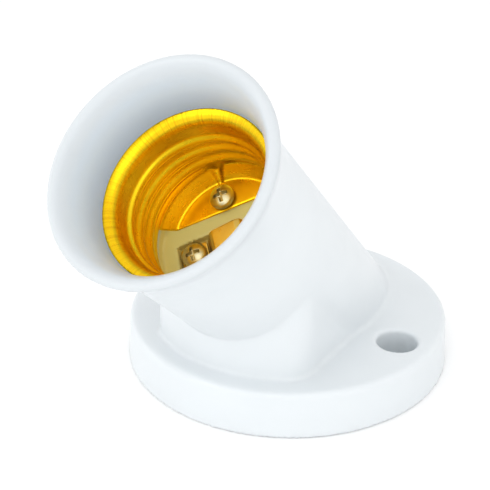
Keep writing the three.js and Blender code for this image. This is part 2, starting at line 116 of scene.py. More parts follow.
# Screw shell, pressed from sheet.
SHEET = 0.5
THREAD_PITCH = 3.629
THREAD_DEPTH = 0.8
THREAD_NARROWNESS = 1.4
THREAD_START = 0.75
THREAD_LOW = 37.3
THREAD_HIGH = 47.9
THREAD_FADE = 1.4
SHELL_FLOOR = 33.0
SHELL_SHOULDER_R = 1.5
CONE_TOP_S = 35.9
CONE_FOOT_R = 11.8
CONE_BEND_R = 0.6
DENT_LOW = (0.1, 11.4, 33.0)
DENT_HIGH = (0.7, 13.2, 36.4)
DENT_LOW_R = 0.25
DENT_HIGH_R = 1.5
DENT_FILLET_R = 0.3
SHELL_PLAIN_R = 13.5
LIP_FLARE_R = 2.4
LIP_TOP = 51.85
SLOT_HALF_WIDTH = 5.6
SLOT_TOP = 35.7
SLOT_EDGE_R = 0.25

# Contact row, the holes and the pocket in the floor.
CONTACT_TURN = math.radians(38)
FLANGE_SCREW_V = 8.2
CONTACT_SCREW_U = -8.2
FIX_HOLE_R = 1.75
POCKET_LOW_U = -11.2
POCKET_HIGH_U = 4.4
POCKET_HALF_WIDTH = 2.8
POCKET_FLOOR = 30.4
POCKET_CORNER_R = 0.5
SHELL_CLAMP_UV = (7.5, 5.6)
CONTACT_CLAMP_UV = (0.5, 0.0)
CLAMP_POCKET_R = 2.1
CLAMP_POCKET_TOP = 28.5
FLOOR_CUT_EDGE_R = 0.2

# Gap between neighbouring pieces.
GAP = 0.3

# Fixing screws with their nuts and lock washers.
FIX_HEAD_R = 2.5
FIX_HEAD_H = 1.6
FIX_HEAD_CROWN_R = 3.4
FIX_HEAD_EDGE_R = 0.45
FIX_SHANK_R = 1.45
RECESS_DEPTH = 1.0
RECESS_WIDTH = 0.7
RECESS_WIDTH_TAPER = 0.12
RECESS_ARM = 1.6
RECESS_ARM_TAPER = 0.55
RECESS_THROAT_R = 0.62
RECESS_THROAT_TAPER = 0.25
NUT_ACROSS_FLATS = 5.5
NUT_H = 2.2
NUT_FACE_R = 2.85
NUT_CHAMFER_SLOPE = 0.5
NUT_HOLE_EDGE_R = 0.15
LOCK_WASHER_R = 2.6
LOCK_WASHER_H = 0.6
LOCK_WASHER_CUT = 0.44
LOCK_WASHER_CUT_LEAN = 0.5
THREAD_STICK_OUT = 0.5
SCREW_PITCH = 0.5
SCREW_THREAD = 0.16
SCREW_TIP_CHAMFER = 0.4

# Centre contact and terminal strips.
CONTACT_HALF_WIDTH = 2.2
CONTACT_SHEET = 0.6
CONTACT_CORNER_R = 0.5
BEND_U = -5.3
TONGUE_END_U = 2.9
TONGUE_CORNER_R = 1.2
TONGUE_TOP_S = 35.0
STRIP_H = 1.2
STRIP_R = 2.9

# Wire clamps: binding screws with square washers.
CLAMP_SHANK_R = 1.65
CLAMP_HOLE_R = 1.85
CLAMP_HEAD_R = 2.8
CLAMP_HEAD_H = 2.0
CLAMP_HEAD_EDGE_R = 0.3
CLAMP_SLOT_DEPTH = 0.9
CLAMP_SLOT_WIDTH = 0.8
CLAMP_WASHER_SIDE = 5.8
CLAMP_WASHER_H = 0.8
CLAMP_WASHER_CORNER_R = 0.5
CLAMP_TIP_S = 27.7

# Edges of the metal parts: of recesses and slots, of holes and of sheet.
CUT_EDGE_R = 0.08
HOLE_IN_SHEET_EDGE_R = 0.1
SHEET_EDGE_R = 0.12

# Grid steps of the meshes.
HOUSING_STEP = 0.42
SHELL_STEP = 0.22
STRIP_STEP = 0.18
CLAMP_WASHER_STEP = 0.14
CONTACT_STEP = 0.12
NUT_STEP = 0.12
CLAMP_SCREW_STEP = 0.12
FIX_STEP = 0.1

# Camera: places in metres and the lens in millimetres.
CAMERA_PLACE = (0.094907, -0.159176, 0.116331)
CAMERA_TARGET = (-0.0078307, -0.0035801, 0.0218182)
CAMERA_LENS = 78.01

CLAMP_AXIS = next(j["axis"] for j in frame["joints"] if j["name"] == "shell_clamp_slide")
SOCKET_AXIS = -Vector(CLAMP_AXIS).normalized()
TILT = math.atan2(-SOCKET_AXIS.y, SOCKET_AXIS.z)
SOCKET_FRAME = Matrix.Translation((0, SOCKET_Y, BASE_H)) @ Matrix.Rotation(TILT, 4, "X")
ROW_FRAME = SOCKET_FRAME @ Matrix.Rotation(CONTACT_TURN, 4, "Z")


# ------------------------------------------------------------- distance fields
def rounded_and(a, b, radius):
    """Where both fields hold, with the edge between them rounded."""
    past = np.hypot(np.maximum(a + radius, 0), np.maximum(b + radius, 0))
    return np.minimum(np.maximum(a, b), -radius) + past


def rounded_or(a, b, radius):
    """Where either field holds, with a fillet between them."""
    return -rounded_and(-a, -b, radius)


def rounded_cut(a, b, radius):
    """The first field less the second, with the cut's edge rounded."""
    return rounded_and(a, -b, radius)


def slab(values, low, high):
    """Between two values along one axis."""
    return np.maximum(low - values, values - high)


def moved_into(matrix, points):
    """Points in the frame that a matrix places."""
    inverse = np.array(matrix.inverted())
    return points @ inverse[:3, :3].T + inverse[:3, 3]


# ------------------------------------------------------------- field to mesh
CORNERS = np.array([(i, j, k) for i in (0, 1) for j in (0, 1) for k in (0, 1)])
CELL_EDGES = [
    (a, b)
    for a in range(8)
    for b in range(a + 1, 8)
    if np.abs(CORNERS[a] - CORNERS[b]).sum() == 1
]
RING_STEPS = ((-1, -1), (0, -1), (0, 0), (-1, 0))


def sample(field, axes):
    """Field values on a grid, a slice at a time to keep memory low."""
    y, z = np.meshgrid(axes[1], axes[2], indexing="ij")
    flat = np.stack([np.zeros(y.size), y.ravel(), z.ravel()], 1)
    values = np.empty((len(axes[0]), *y.shape))
    for i, x in enumerate(axes[0]):
        flat[:, 0] = x
        values[i] = field(flat).reshape(y.shape)
    return values


def net_points(values, cells, origin, step):
    """One point in each cell that the surface crosses: the mean of its edge crossings."""
    total = np.zeros((len(cells), 3))
    count = np.zeros((len(cells), 1))
    for a, b in CELL_EDGES:
        at_a = values[tuple((cells + CORNERS[a]).T)]
        at_b = values[tuple((cells + CORNERS[b]).T)]
        crossed = (at_a < 0) != (at_b < 0)
        share = np.where(crossed, at_a / np.where(crossed, at_a - at_b, 1), 0)[:, None]
        crossing = CORNERS[a] + share * (CORNERS[b] - CORNERS[a])
        total += crossed[:, None] * crossing
        count += crossed[:, None]
    return origin + (cells + total / count) * step


def net_quads(inside, number):
    """A quad round every grid edge that the surface crosses, facing out."""
    quads = []
    for axis in range(3):
        others = [a for a in range(3) if a != axis]
        low = np.moveaxis(inside, axis, 0)[:-1]
        high = np.moveaxis(inside, axis, 0)[1:]
        changed = np.argwhere(low != high)
        edges = np.empty_like(changed)
        edges[:, axis] = changed[:, 0]
        edges[:, others[0]] = changed[:, 1]
        edges[:, others[1]] = changed[:, 2]
        ring = []
        for step_a, step_b in RING_STEPS:
            cell = edges.copy()
            cell[:, others[0]] += step_a
            cell[:, others[1]] += step_b
            ring.append(number[tuple(cell.T)])
        ring = np.stack(ring, 1)
        outward = low[tuple(changed.T)]
        if axis == 1:
            outward = ~outward
        ring[~outward] = ring[~outward][:, ::-1]
        quads.append(ring)
    return np.concatenate(quads)


def gradient(field, points, reach):
    """The field's slope at each point, over a short reach to both sides."""
    columns = []
    for axis in range(3):
        offset = np.zeros(3)
        offset[axis] = reach
        columns.append((field(points + offset) - field(points - offset)) / (2 * reach))
    return np.stack(columns, 1)


def settle(field, points, step):
    """Moves points onto the field's zero surface."""
    for _ in range(4):
        slope = gradient(field, points, step * 0.05)
        size = np.maximum((slope * slope).sum(1), 0.05)
        move = -(field(points) / size)[:, None] * slope
        points = points + np.clip(move, -step / 2, step / 2)
    return points


def field_mesh(field, low, high, step):
    """Points and quads of the zero surface of a field inside a box."""
    axes = [np.arange(a - 2 * step, b + 3 * step, step) for a, b in zip(low, high)]
    values = sample(field, axes)
    inside = values < 0
    nx, ny, nz = np.array(inside.shape) - 1
    filled = sum(
        inside[i : nx + i, j : ny + j, k : nz + k].astype(np.int8) for i, j, k in CORNERS
    )
    cells = np.argwhere((filled > 0) & (filled < 8))
    number = np.full(filled.shape, -1)
    number[tuple(cells.T)] = np.arange(len(cells))
    origin = np.array([axis[0] for axis in axes])
    points = settle(field, net_points(values, cells, origin, step), step)
    return points, net_quads(inside, number)


SHARP_ANGLE = math.radians(38)


def piece(name, field, low, high, step, matrix, body, node, material):
    """A field's mesh as an object that stands for a CAD node and rides on its body."""
    points, quads = field_mesh(field, low, high, step)
    mesh = bpy.data.meshes.new(name)
    mesh.from_pydata(points.tolist(), [], quads.tolist())
    mesh.transform(Matrix.Scale(MM, 4) @ matrix)
    mesh.materials.append(material)
    mesh.shade_smooth()
    mesh.set_sharp_from_angle(angle=SHARP_ANGLE)
    made = bpy.data.objects.new(name, mesh)
    bpy.context.scene.collection.objects.link(made)
    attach(made, body)
    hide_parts(node)
    return made


# ------------------------------------------------------------------- housing
def riser_outline(x, y, radius, half_width, corner_r):
    """Plan of the neck under the tube: a round front between two flat sides."""
    return rounded_and(np.hypot(x, y) - radius, np.abs(x) - half_width, corner_r)


def base_field(p):
    """Slightly tapered round base, solid."""
    r = np.hypot(p[:, 0], p[:, 1])
    wall = r - (BASE_R - (BASE_R - BASE_TOP_R) * p[:, 2] / BASE_H)
    plate = rounded_and(wall, p[:, 2] - BASE_H, BASE_EDGE_R)
    return rounded_and(plate, -p[:, 2], BASE_UNDER_EDGE_R)


def tube_radius(s):
    """Outer radius of the tube and its bell at a height."""
    flared = TUBE_FOOT_R + TUBE_TAPER * s + FLARE_CURVE * np.maximum(s - FLARE_START, 0) ** 2
    return np.minimum(flared, RIM_OUTER_R)


def outer_field(p, local):
    """Base, riser and tube with its bell, before anything is hollowed."""
    r = np.hypot(local[:, 0], local[:, 1])
    tube = rounded_and(r - tube_radius(local[:, 2]), local[:, 2] - RIM_S, RIM_OUTER_EDGE_R)
    tube = np.maximum(tube, np.maximum(BASE_PLATE - p[:, 2], TUBE_BOTTOM - local[:, 2]))
    riser = riser_outline(p[:, 0], p[:, 1], RISER_R, RISER_HALF_WIDTH, RISER_CORNER_R)
    riser = np.maximum(np.maximum(riser, local[:, 1]), BASE_PLATE - p[:, 2])
    neck = rounded_or(tube, riser, RISER_FILLET_R)
    return rounded_or(neck, base_field(p), BASE_FILLET_R)


def bell_wall_field(r, s):
    """Solid side of the bell's inner face: a quarter ellipse from the seat to the rim's crest."""
    wide = BELL_CREST_R - SEAT_R
    dr = np.minimum(r - BELL_CREST_R, 0)
    ds = np.maximum(s - (RIM_S - BELL_DEPTH), 0)
    size = np.hypot(dr / wide, ds / BELL_DEPTH) + 1e-9
    slope = np.hypot(dr / wide**2, ds / BELL_DEPTH**2) + 1e-9
    return size * (size - 1) / slope


def socket_bore_field(local):
    """The space in front of the floor, out through the bell."""
    r, s = np.hypot(local[:, 0], local[:, 1]), local[:, 2]
    seat = r - BORE_R - SEAT_SLOPE * np.maximum(s - SEAT_LOW, 0)
    space = np.maximum(seat, -bell_wall_field(r, s))
    return rounded_and(space, FLOOR_TOP - s, FLOOR_CORNER_R)


def wiring_field(p, local):
    """The open space behind the floor."""
    r = np.hypot(local[:, 0], local[:, 1])
    inside = riser_outline(
        p[:, 0], p[:, 1], RISER_R - RISER_WALL, RISER_HALF_WIDTH - RISER_WALL, RISER_CORNER_R / 2
    )
    space = np.minimum(r - REAR_BORE_R, np.maximum(inside, local[:, 1]))
    space = rounded_and(space, local[:, 2] - FLOOR_REAR, WIRING_TOP_CORNER_R)
    return rounded_and(space, np.hypot(p[:, 0], p[:, 1]) - WIRING_R, WIRING_FOOT_CORNER_R)


def hollow_field(p, local):
    """Hollow under the base plate, round the neck and the two mounting bosses."""
    x, y, z = p.T
    wall = np.hypot(x, y) - (BASE_R - BASE_RIM)
    hollow = rounded_and(wall, z - (BASE_H - BASE_PLATE), HOLLOW_CORNER_R)
    tube = np.hypot(local[:, 0], local[:, 1]) - TUBE_FOOT_R
    riser = riser_outline(x, y, RISER_R, RISER_HALF_WIDTH, RISER_CORNER_R)
    kept = np.minimum(tube, np.maximum(riser, local[:, 1]))
    kept = np.minimum(kept, np.hypot(np.abs(x) - HOLE_X, y) - BOSS_R)
    return rounded_cut(hollow, kept, HOLLOW_CORNER_R)


def mounting_field(p):
    """The two counterbored fixing holes."""
    r = np.hypot(np.abs(p[:, 0]) - HOLE_X, p[:, 1])
    head = rounded_and(
        r - HOLE_HEAD_R, BASE_H - HOLE_HEAD_DEPTH - p[:, 2], HOLE_HEAD_CORNER_R
    )
    return np.minimum(head, r - HOLE_SHANK_R)


def floor_cuts_field(row):
    """Screw holes, contact pocket and clamp screw recesses, in the contact row's axes."""
    u, v, s = row.T
    pocket = rounded_and(
        slab(u, POCKET_LOW_U, POCKET_HIGH_U), np.abs(v) - POCKET_HALF_WIDTH, POCKET_CORNER_R
    )
    cuts = np.maximum(pocket, POCKET_FLOOR - s)
    for hole_u, hole_v in ((0, FLANGE_SCREW_V), (0, -FLANGE_SCREW_V), (CONTACT_SCREW_U, 0)):
        cuts = np.minimum(cuts, np.hypot(u - hole_u, v - hole_v) - FIX_HOLE_R)
    for hole_u, hole_v in (SHELL_CLAMP_UV, CONTACT_CLAMP_UV):
        blind = np.maximum(np.hypot(u - hole_u, v - hole_v) - CLAMP_POCKET_R, s - CLAMP_POCKET_TOP)
        cuts = np.minimum(cuts, blind)
    return np.maximum(cuts, slab(s, FLOOR_REAR - 1, FLOOR_TOP + 1))


def housing_field(p):
    """The whole white moulding."""
    local = moved_into(SOCKET_FRAME, p)
    row = moved_into(ROW_FRAME, p)
    body = outer_field(p, local)
    body = np.maximum(body, -socket_bore_field(local))
    body = rounded_cut(body, wiring_field(p, local), REAR_CUT_EDGE_R)
    body = rounded_cut(body, hollow_field(p, local), REAR_CUT_EDGE_R)
    body = rounded_cut(body, mounting_field(p), HOLE_EDGE_R)
    return rounded_cut(body, floor_cuts_field(row), FLOOR_CUT_EDGE_R)


# --------------------------------------------------------------- screw shell
def smoothstep(values, low, high):
    """0 below the low value and 1 above the high one, with a smooth rise between them."""
    share = np.clip((values - low) / (high - low), 0, 1)
    return share * share * (3 - 2 * share)


def thread_inset(angle, s):
    """How far the thread presses the wall in at an angle and height."""
    fade = smoothstep(s, THREAD_LOW - THREAD_FADE, THREAD_LOW)
    fade *= 1 - smoothstep(s, THREAD_HIGH - THREAD_FADE, THREAD_HIGH)
    wave = 0.5 + 0.5 * np.cos(2 * math.pi * (s - THREAD_START) / THREAD_PITCH - angle)
    return THREAD_DEPTH * wave**THREAD_NARROWNESS * fade


def arc_points(centre, radius, start, end, count):
    """Points on an arc in the r, s plane, from one angle in degrees to another."""
    angles = np.radians(np.linspace(start, end, count))
    return [(centre[0] + radius * math.cos(a), centre[1] + radius * math.sin(a)) for a in angles]


def shell_path():
    """Middle of the pressed sheet in the r, s plane, from the lip to the axis."""
    half = SHEET / 2
    flare = (SHELL_PLAIN_R + LIP_FLARE_R, LIP_TOP - LIP_FLARE_R)
    lip = arc_points(flare, LIP_FLARE_R - half, 100, 180, 9)
    fall = math.atan2(CONE_TOP_S - SHELL_FLOOR, SHELL_PLAIN_R - CONE_FOOT_R)
    shoulder = (SHELL_PLAIN_R + half - SHELL_SHOULDER_R, CONE_TOP_S)
    turn = math.degrees(fall) - 90
    upper = arc_points(shoulder, SHELL_SHOULDER_R, 0, turn, 4)
    foot = (CONE_FOOT_R - CONE_BEND_R, SHELL_FLOOR + CONE_BEND_R)
    lower = arc_points(foot, CONE_BEND_R + half, turn, -90, 5)
    return lip + upper + lower + [(0, SHELL_FLOOR - half)]


def polyline_distance(x, y, points):
    """Distance from a path of straight stretches in a plane."""
    nearest = np.full(x.shape, 1e9)
    for (ax, ay), (bx, by) in zip(points, points[1:]):
        dx, dy = bx - ax, by - ay
        share = np.clip(((x - ax) * dx + (y - ay) * dy) / (dx * dx + dy * dy), 0, 1)
        nearest = np.minimum(nearest, np.hypot(x - ax - share * dx, y - ay - share * dy))
    return nearest


def dent_field(u, v, s):
    """Tapered dent over a flange screw, in the cone at the foot of the wall."""
    rise = [high - low for low, high in zip(DENT_LOW, DENT_HIGH)]
    offset = [value - low for value, low in zip((u, v, s), DENT_LOW)]
    share = sum(a * b for a, b in zip(offset, rise)) / sum(a * a for a in rise)
    share = np.clip(share, 0, 1)
    away = np.sqrt(sum((a - share * b) ** 2 for a, b in zip(offset, rise)))
    return away - DENT_LOW_R - (DENT_HIGH_R - DENT_LOW_R) * share


def shell_field(row):
    """Pressed brass cup: lip, threaded wall, cone with its two dents, and slotted floor."""
    u, v, s = row.T
    r = np.hypot(u, v)
    angle = np.arctan2(v, u) + CONTACT_TURN
    near_wall = smoothstep(r, SHELL_PLAIN_R - 2.2, SHELL_PLAIN_R - 1.6)
    inset = thread_inset(angle, s)
    reach = 0.05
    slope = (thread_inset(angle, s + reach) - thread_inset(angle, s - reach)) / (2 * reach)
    flat_r = r + inset * near_wall
    path_r, path_s = np.array(SHELL_PATH).T
    within = (flat_r < np.interp(s, path_s[::-1], path_r[::-1])) & (s > SHELL_FLOOR - SHEET / 2)
    side = np.where(within, -1, 1) / np.sqrt(1 + slope * slope * near_wall)
    middle = polyline_distance(flat_r, s, SHELL_PATH) * side
    dent = dent_field(np.sign(v) * u, np.abs(v), s) - SHEET / 2
    dent = np.maximum(dent, r - SHELL_PLAIN_R - SHEET / 2)
    sheet = np.abs(rounded_or(middle, dent, DENT_FILLET_R)) - SHEET / 2
    slot = np.maximum(np.abs(v) - SLOT_HALF_WIDTH, s - SLOT_TOP)
    sheet = rounded_cut(sheet, slot, SLOT_EDGE_R)
    holes = np.hypot(u, np.abs(v) - FLANGE_SCREW_V) - FIX_HOLE_R
    return rounded_cut(sheet, np.maximum(holes, s - SHELL_FLOOR - 1), SHEET_EDGE_R)


# --------------------------------------------------------- screws and washers
# Each small part's field is in its own axes: the screw's axis is z, which points out of the
# socket, and z = 0 is where the function says.
def threaded_shank(p, radius, low, high):
    """Cylinder with a fine right-hand thread and a chamfered tip at its low end."""
    r, z = np.hypot(p[:, 0], p[:, 1]), p[:, 2]
    turn = z / SCREW_PITCH - np.arctan2(p[:, 1], p[:, 0]) / (2 * math.pi)
    ridge = 2 * np.abs(turn - np.floor(turn) - 0.5)
    gentler = 0.7
    shank = (r - radius + SCREW_THREAD * ridge) * gentler
    tip = low + np.maximum(r - radius + SCREW_TIP_CHAMFER, 0)
    return rounded_and(np.maximum(shank, z - high), tip - z, 0.05)


def cross_screw_field(p, tip):
    """Pan-head cross-recess screw; the underside of its head is z = 0."""
    r, z = np.hypot(p[:, 0], p[:, 1]), p[:, 2]
    crown = np.hypot(r, z - FIX_HEAD_H + FIX_HEAD_CROWN_R) - FIX_HEAD_CROWN_R
    head = rounded_and(r - FIX_HEAD_R, np.maximum(crown, -z), FIX_HEAD_EDGE_R)
    depth = FIX_HEAD_H - z
    arm = RECESS_ARM - RECESS_ARM_TAPER * depth
    half_width = RECESS_WIDTH / 2 - RECESS_WIDTH_TAPER * depth
    x, y = np.abs(p[:, 0]), np.abs(p[:, 1])
    across = np.minimum(np.maximum(x - arm, y - half_width), np.maximum(y - arm, x - half_width))
    throat = r - RECESS_THROAT_R + RECESS_THROAT_TAPER * depth
    recess = np.maximum(np.minimum(across, throat), depth - RECESS_DEPTH)
    head = rounded_cut(head, recess, CUT_EDGE_R)
    return np.minimum(head, threaded_shank(p, FIX_SHANK_R, tip, 0.5))


def clamp_screw_field(p):
    """Slotted binding screw, head below; z = 0 is the seat of its head."""
    r, z = np.hypot(p[:, 0], p[:, 1]), p[:, 2]
    head = rounded_and(r - CLAMP_HEAD_R, slab(z, -CLAMP_HEAD_H, 0), CLAMP_HEAD_EDGE_R)
    slot = np.maximum(np.abs(p[:, 1]) - CLAMP_SLOT_WIDTH / 2, z + CLAMP_HEAD_H - CLAMP_SLOT_DEPTH)
    head = rounded_cut(head, slot, CUT_EDGE_R)
    flipped = p * np.array([1, 1, -1])
    tip = CLAMP_TIP_S - (CLAMP_SEAT_S - 2 * GAP)
    return np.minimum(head, threaded_shank(flipped, CLAMP_SHANK_R, -tip, 0.5))


HEX_SIDES = [math.radians(30 + 60 * i) for i in range(3)]


def hex_distance(p, across_flats):
    """Distance from the sides of a hexagonal prism on the z axis."""
    sides = [np.abs(p[:, 0] * math.cos(a) + p[:, 1] * math.sin(a)) for a in HEX_SIDES]
    return np.maximum.reduce(sides) - across_flats / 2


def nut_field(p):
    """Chamfered hexagon nut; z = 0 is its low face."""
    r, z = np.hypot(p[:, 0], p[:, 1]), p[:, 2]
    chamfer = np.maximum(r - NUT_FACE_R, 0) * NUT_CHAMFER_SLOPE
    body = np.maximum(hex_distance(p, NUT_ACROSS_FLATS), slab(z, chamfer, NUT_H - chamfer))
    return rounded_cut(body, r - FIX_HOLE_R, NUT_HOLE_EDGE_R)


def lock_washer_field(p):
    """Split lock washer; z = 0 is its low face."""
    r, z = np.hypot(p[:, 0], p[:, 1]), p[:, 2]
    mid = (FIX_HOLE_R + LOCK_WASHER_R) / 2
    wall = np.abs(r - mid) - (LOCK_WASHER_R - FIX_HOLE_R) / 2
    body = rounded_and(wall, slab(z, 0, LOCK_WASHER_H), CUT_EDGE_R)
    lean = LOCK_WASHER_CUT_LEAN * (z - LOCK_WASHER_H / 2)
    split = np.abs(p[:, 1] - lean) - LOCK_WASHER_CUT / 2
    return np.maximum(body, -np.maximum(split, -p[:, 0]))


def clamp_washer_field(p):
    """Square pressure plate; z = 0 is its low face."""
    half = CLAMP_WASHER_SIDE / 2
    x, y, z = p.T
    square = rounded_and(np.abs(x) - half, np.abs(y) - half, CLAMP_WASHER_CORNER_R)
    body = rounded_and(square, slab(z, 0, CLAMP_WASHER_H), SHEET_EDGE_R)
    return rounded_cut(body, np.hypot(x, y) - CLAMP_HOLE_R, HOLE_IN_SHEET_EDGE_R)


# -------------------------------------------------------- contact and strips
def strip_field(row, start, end):
    """Terminal strip with round ends and a screw hole near each, in the row's axes."""
    along = np.array([end[0] - start[0], end[1] - start[1]])
    length = np.hypot(*along)
    along = along / length
    du, dv = row[:, 0] - start[0], row[:, 1] - start[1]
    x, y = du * along[0] + dv * along[1], dv * along[0] - du * along[1]
    outline = np.hypot(x - np.clip(x, 0, length), y) - STRIP_R
    body = rounded_and(outline, slab(row[:, 2], STRIP_TOP - STRIP_H, STRIP_TOP), SHEET_EDGE_R)
    holes = np.minimum(np.hypot(x, y) - FIX_HOLE_R, np.hypot(x - length, y) - CLAMP_HOLE_R)
    return rounded_cut(body, holes, HOLE_IN_SHEET_EDGE_R)


def foot_field(row):
    """Flat foot of the centre contact, under its screw."""
    u, v, s = row.T
    ends = slab(u, POCKET_LOW_U + GAP, BEND_U - GAP)
    outline = rounded_and(ends, np.abs(v) - CONTACT_HALF_WIDTH, CONTACT_CORNER_R)
    faces = slab(s, FOOT_LOW, FOOT_LOW + CONTACT_SHEET)
    body = rounded_and(outline, faces, HOLE_IN_SHEET_EDGE_R)
    return rounded_cut(
        body, np.hypot(u - CONTACT_SCREW_U, v) - FIX_HOLE_R, HOLE_IN_SHEET_EDGE_R
    )


def tongue_path():
    """Upper face of the sprung end, [u, s] from the bend to the curled tip."""
    top = FOOT_LOW + CONTACT_SHEET
    return [
        (BEND_U, top),
        (BEND_U + 0.5, top + 0.25),
        (BEND_U + 1.5, 33.6),
        (BEND_U + 2.1, 34.1),
        (1.4, 34.8),
        (2.3, 34.7),
        (TONGUE_END_U, 34.2),
    ]


def tongue_field(row):
    """Sprung end of the centre contact."""
    u, v, s = row.T
    middle = [(a, b - CONTACT_SHEET / 2) for a, b in tongue_path()]
    sheet = polyline_distance(u, s, middle) - CONTACT_SHEET / 2
    tip = TONGUE_TIP_U - u
    corner = rounded_and(np.abs(v) - CONTACT_HALF_WIDTH, -tip, TONGUE_CORNER_R)
    return rounded_and(np.maximum(sheet, BEND_U - u), corner, SHEET_EDGE_R)


SHELL_PATH = shell_path()
STRIP_TOP = FLOOR_REAR - GAP
CLAMP_SEAT_S = STRIP_TOP - STRIP_H - CLAMP_WASHER_H
FOOT_LOW = POCKET_FLOOR + GAP
TONGUE_TIP_U = TONGUE_END_U + CONTACT_SHEET / 2


# ------------------------------------------------------------------ materials
# Zones of painted light and shade on the white moulding, in millimetres of radius and of height
# along the socket:
# the radii, the heights where the tint rises, the heights where it falls again, and its colour.
PAST_RIM = (RIM_S + 4, RIM_S + 3)
# Painted shade: the inside of the bell is darker and bluer, as if in shadow.
BELL_PAINTED_SHADE = ((17.5, 16.8), (49, 51), PAST_RIM, (0.765, 0.82, 0.87))
# Painted shade: a darker grey-blue ring in the groove beside the shell's lip.
GROOVE_PAINTED_SHADE = ((17.5, 16.8), (49, 51), (57, 51), (0.62, 0.69, 0.80))
# Painted shade: the rim is greyed to dull the light that falls on it.
RIM_PAINTED_SHADE = ((16.0, 18.5), (58.5, 61.5), PAST_RIM, (0.68, 0.71, 0.73))
# Painted light: a cream glow on the floor of the bore, standing in for light thrown by the brass
# shell.
FLOOR_PAINTED_BOUNCE_LIGHT = ((15.0, 14.5), (28.5, 29.5), (34.5, 33.5), (1.0, 0.83, 0.33))
PAINTED_LIGHT_ZONES = (BELL_PAINTED_SHADE, GROOVE_PAINTED_SHADE, RIM_PAINTED_SHADE, FLOOR_PAINTED_BOUNCE_LIGHT)


def new_material(name, colour):
    """A material, with its nodes, its links and its shader."""
    material = bpy.data.materials.new(name)
    material.use_nodes = True
    material.diffuse_color = (*colour, 1)
    nodes = material.node_tree.nodes
    return material, nodes, material.node_tree.links, nodes["Principled BSDF"]


def socket_position(nodes, links):
    """Position in the socket's own axes, in metres, with z towards the mouth."""
    where = nodes.new("ShaderNodeTexCoord")
    mapping = nodes.new("ShaderNodeMapping")
    mapping.vector_type = "TEXTURE"
    mapping.inputs["Location"].default_value = SOCKET_FRAME.translation * MM
    mapping.inputs["Rotation"].default_value = (TILT, 0, 0)
    links.new(where.outputs["Object"], mapping.inputs["Vector"])
    return mapping.outputs["Vector"]


def noise(nodes, links, scale, detail, stretch=(1, 1, 1)):
    """Noise in the socket's axes, in waves per metre times the stretch."""
    mapping = nodes.new("ShaderNodeMapping")
    mapping.inputs["Scale"].default_value = stretch
    texture = nodes.new("ShaderNodeTexNoise")
    texture.inputs["Scale"].default_value = scale
    texture.inputs["Detail"].default_value = detail
    links.new(socket_position(nodes, links), mapping.inputs["Vector"])
    links.new(mapping.outputs["Vector"], texture.inputs["Vector"])
    return texture.outputs["Fac"]


def ramp(nodes, links, value, stops):
    """Colours or greys along a value."""
    made = nodes.new("ShaderNodeValToRGB")
    elements = made.color_ramp.elements
    while len(elements) < len(stops):
        elements.new(0.5)
    for element, (position, colour) in zip(elements, stops):
        element.position = position
        element.color = (*colour, 1)
    links.new(value, made.inputs["Fac"])
    return made.outputs["Color"]


def spread(nodes, links, value, low, high, source=(0.3, 0.7)):
    """A value moved from its source range to another range."""
    made = nodes.new("ShaderNodeMapRange")
    made.inputs["From Min"].default_value = source[0]
    made.inputs["From Max"].default_value = source[1]
    made.inputs["To Min"].default_value = low
    made.inputs["To Max"].default_value = high
    links.new(value, made.inputs["Value"])
    return made.outputs["Result"]


def fade(nodes, links, value, ends):
    """0 before one length and 1 past another; the ends are in millimetres."""
    return spread(nodes, links, value, 0, 1, [end * MM for end in ends])


def bump(nodes, links, value, height):
    """Normals of a relief of a height in metres."""
    made = nodes.new("ShaderNodeBump")
    made.inputs["Distance"].default_value = height
    links.new(value, made.inputs["Height"])
    return made.outputs["Normal"]


def product(nodes, links, first, second):
    """Two values multiplied."""
    made = nodes.new("ShaderNodeMath")
    made.operation = "MULTIPLY"
    links.new(first, made.inputs[0])
    links.new(second, made.inputs[1])
    return made.outputs["Value"]


def from_axis(nodes, links):
    """The vector from the socket's axis, in metres."""
    flat = nodes.new("ShaderNodeVectorMath")
    flat.operation = "MULTIPLY"
    flat.inputs[1].default_value = (1, 1, 0)
    links.new(socket_position(nodes, links), flat.inputs[0])
    return flat.outputs["Vector"]


def radius_and_height(nodes, links):
    """Distance from the socket's axis and height along it, in metres."""
    away = nodes.new("ShaderNodeVectorMath")
    away.operation = "LENGTH"
    split = nodes.new("ShaderNodeSeparateXYZ")
    links.new(from_axis(nodes, links), away.inputs[0])
    links.new(socket_position(nodes, links), split.inputs["Vector"])
    return away.outputs["Value"], split.outputs["Z"]


def mix(nodes, links, factor, first, second):
    """The first colour, going over to a fixed second one as the factor rises to 1."""
    made = nodes.new("ShaderNodeMix")
    made.data_type = "RGBA"
    made.inputs["B"].default_value = (*second, 1)
    links.new(factor, made.inputs["Factor"])
    links.new(first, made.inputs["A"])
    return made.outputs["Result"]


def zone(nodes, links, radii, rise, fall):
    """1 inside a ring about the socket's axis and 0 outside it, with soft edges.

    Each range, in millimetres, runs from where the zone is 0 to where it is 1.
    """
    radius, height = radius_and_height(nodes, links)
    ring = fade(nodes, links, radius, radii)
    band = product(nodes, links, fade(nodes, links, height, rise), fade(nodes, links, height, fall))
    return product(nodes, links, ring, band)


